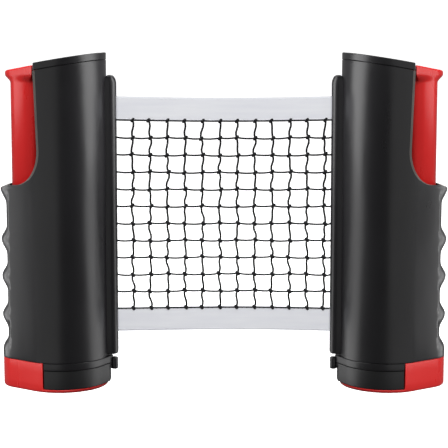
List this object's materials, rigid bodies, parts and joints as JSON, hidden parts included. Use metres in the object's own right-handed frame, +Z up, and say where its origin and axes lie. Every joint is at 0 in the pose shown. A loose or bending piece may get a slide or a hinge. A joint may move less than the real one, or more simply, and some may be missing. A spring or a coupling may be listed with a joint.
{
  "type": "retractable table tennis net set with two clamp posts",
  "caption": "Table tennis net wound on spring reels in two clamp posts; pressing a red plunger opens each post's jaw for the table edge.",
  "frame": {"origin": "middle of the set on the surface that it stands on, under the middle of the net", "axes": "+X along the net from the left post to the right one, -Y to the front, +Z up along the posts"},
  "size_m": [0.2668, 0.054, 0.1995],
  "materials": {
    "black_abs": "satin moulded black plastic",
    "red_abs": "glossy moulded red plastic",
    "spring_steel": "bright spring steel",
    "zinc_steel": "zinc-plated steel",
    "pom_white": "white bearing plastic",
    "net_tape": "white woven band",
    "net_twine": "black knotted twine"
  },
  "bodies": {
    "left_post": {"left_front_shell": "black_abs", "left_rear_shell": "black_abs", "left_top_cap": "black_abs", "left_bottom_plate": "black_abs", "left_jaw_foot": "black_abs", "left_reel_axle": "zinc_steel", "left_lower_bush": "pom_white", "left_upper_bush": "pom_white", "left_shell_screw_1": "zinc_steel", "left_shell_screw_2": "zinc_steel", "left_shell_screw_3": "zinc_steel", "left_shell_screw_4": "zinc_steel", "left_foot_screw_1": "zinc_steel", "left_foot_screw_2": "zinc_steel", "left_clamp_spring": "spring_steel", "left_reel_spring": "spring_steel", "net_top_tape": "net_tape", "net_bottom_tape": "net_tape", "net_mesh": "net_twine"},
    "left_clamp": {"left_lower_jaw": "red_abs", "left_plunger": "red_abs", "left_plunger_pin": "zinc_steel"},
    "left_reel": {"left_spool": "pom_white", "left_net_roll": "net_tape", "left_spring_barrel": "black_abs"},
    "right_post": {"right_front_shell": "black_abs", "right_rear_shell": "black_abs", "right_top_cap": "black_abs", "right_bottom_plate": "black_abs", "right_jaw_foot": "black_abs", "right_reel_axle": "zinc_steel", "right_lower_bush": "pom_white", "right_upper_bush": "pom_white", "right_shell_screw_1": "zinc_steel", "right_shell_screw_2": "zinc_steel", "right_shell_screw_3": "zinc_steel", "right_shell_screw_4": "zinc_steel", "right_foot_screw_1": "zinc_steel", "right_foot_screw_2": "zinc_steel", "right_clamp_spring": "spring_steel", "right_reel_spring": "spring_steel"},
    "right_clamp": {"right_lower_jaw": "red_abs", "right_plunger": "red_abs", "right_plunger_pin": "zinc_steel"},
    "right_reel": {"right_spool": "pom_white", "right_net_roll": "net_tape", "right_spring_barrel": "black_abs"}
  },
  "joints": [
    {"name": "net_pull", "type": "slide", "parent": "left_post", "child": "right_post", "axis": [1, 0, 0], "range_m": [-0.126, 1.45], "deforming": ["net_top_tape", "net_bottom_tape", "net_mesh"]},
    {"name": "left_clamp_press", "type": "slide", "parent": "left_post", "child": "left_clamp", "axis": [0, 0, -1], "range_m": [0, 0.05], "stiffness_N_per_m": 400, "springref_m": -0.05, "deforming": ["left_clamp_spring"]},
    {"name": "left_reel_spin", "type": "hinge", "parent": "left_post", "child": "left_reel", "pos_m": [-0.0903, 0, 0.1], "axis": [0, 0, 1], "continuous": true, "deforming": ["left_reel_spring"]},
    {"name": "right_clamp_press", "type": "slide", "parent": "right_post", "child": "right_clamp", "axis": [0, 0, -1], "range_m": [0, 0.05], "stiffness_N_per_m": 400, "springref_m": -0.05, "deforming": ["right_clamp_spring"]},
    {"name": "right_reel_spin", "type": "hinge", "parent": "right_post", "child": "right_reel", "pos_m": [0.0903, 0, 0.1], "axis": [0, 0, 1], "continuous": true, "deforming": ["right_reel_spring"]}
  ],
  "couplings": [
    {"joint": "left_reel_spin", "follows": "net_pull", "rad_per_m": 32.258},
    {"joint": "right_reel_spin", "follows": "net_pull", "rad_per_m": -32.258}
  ]
}
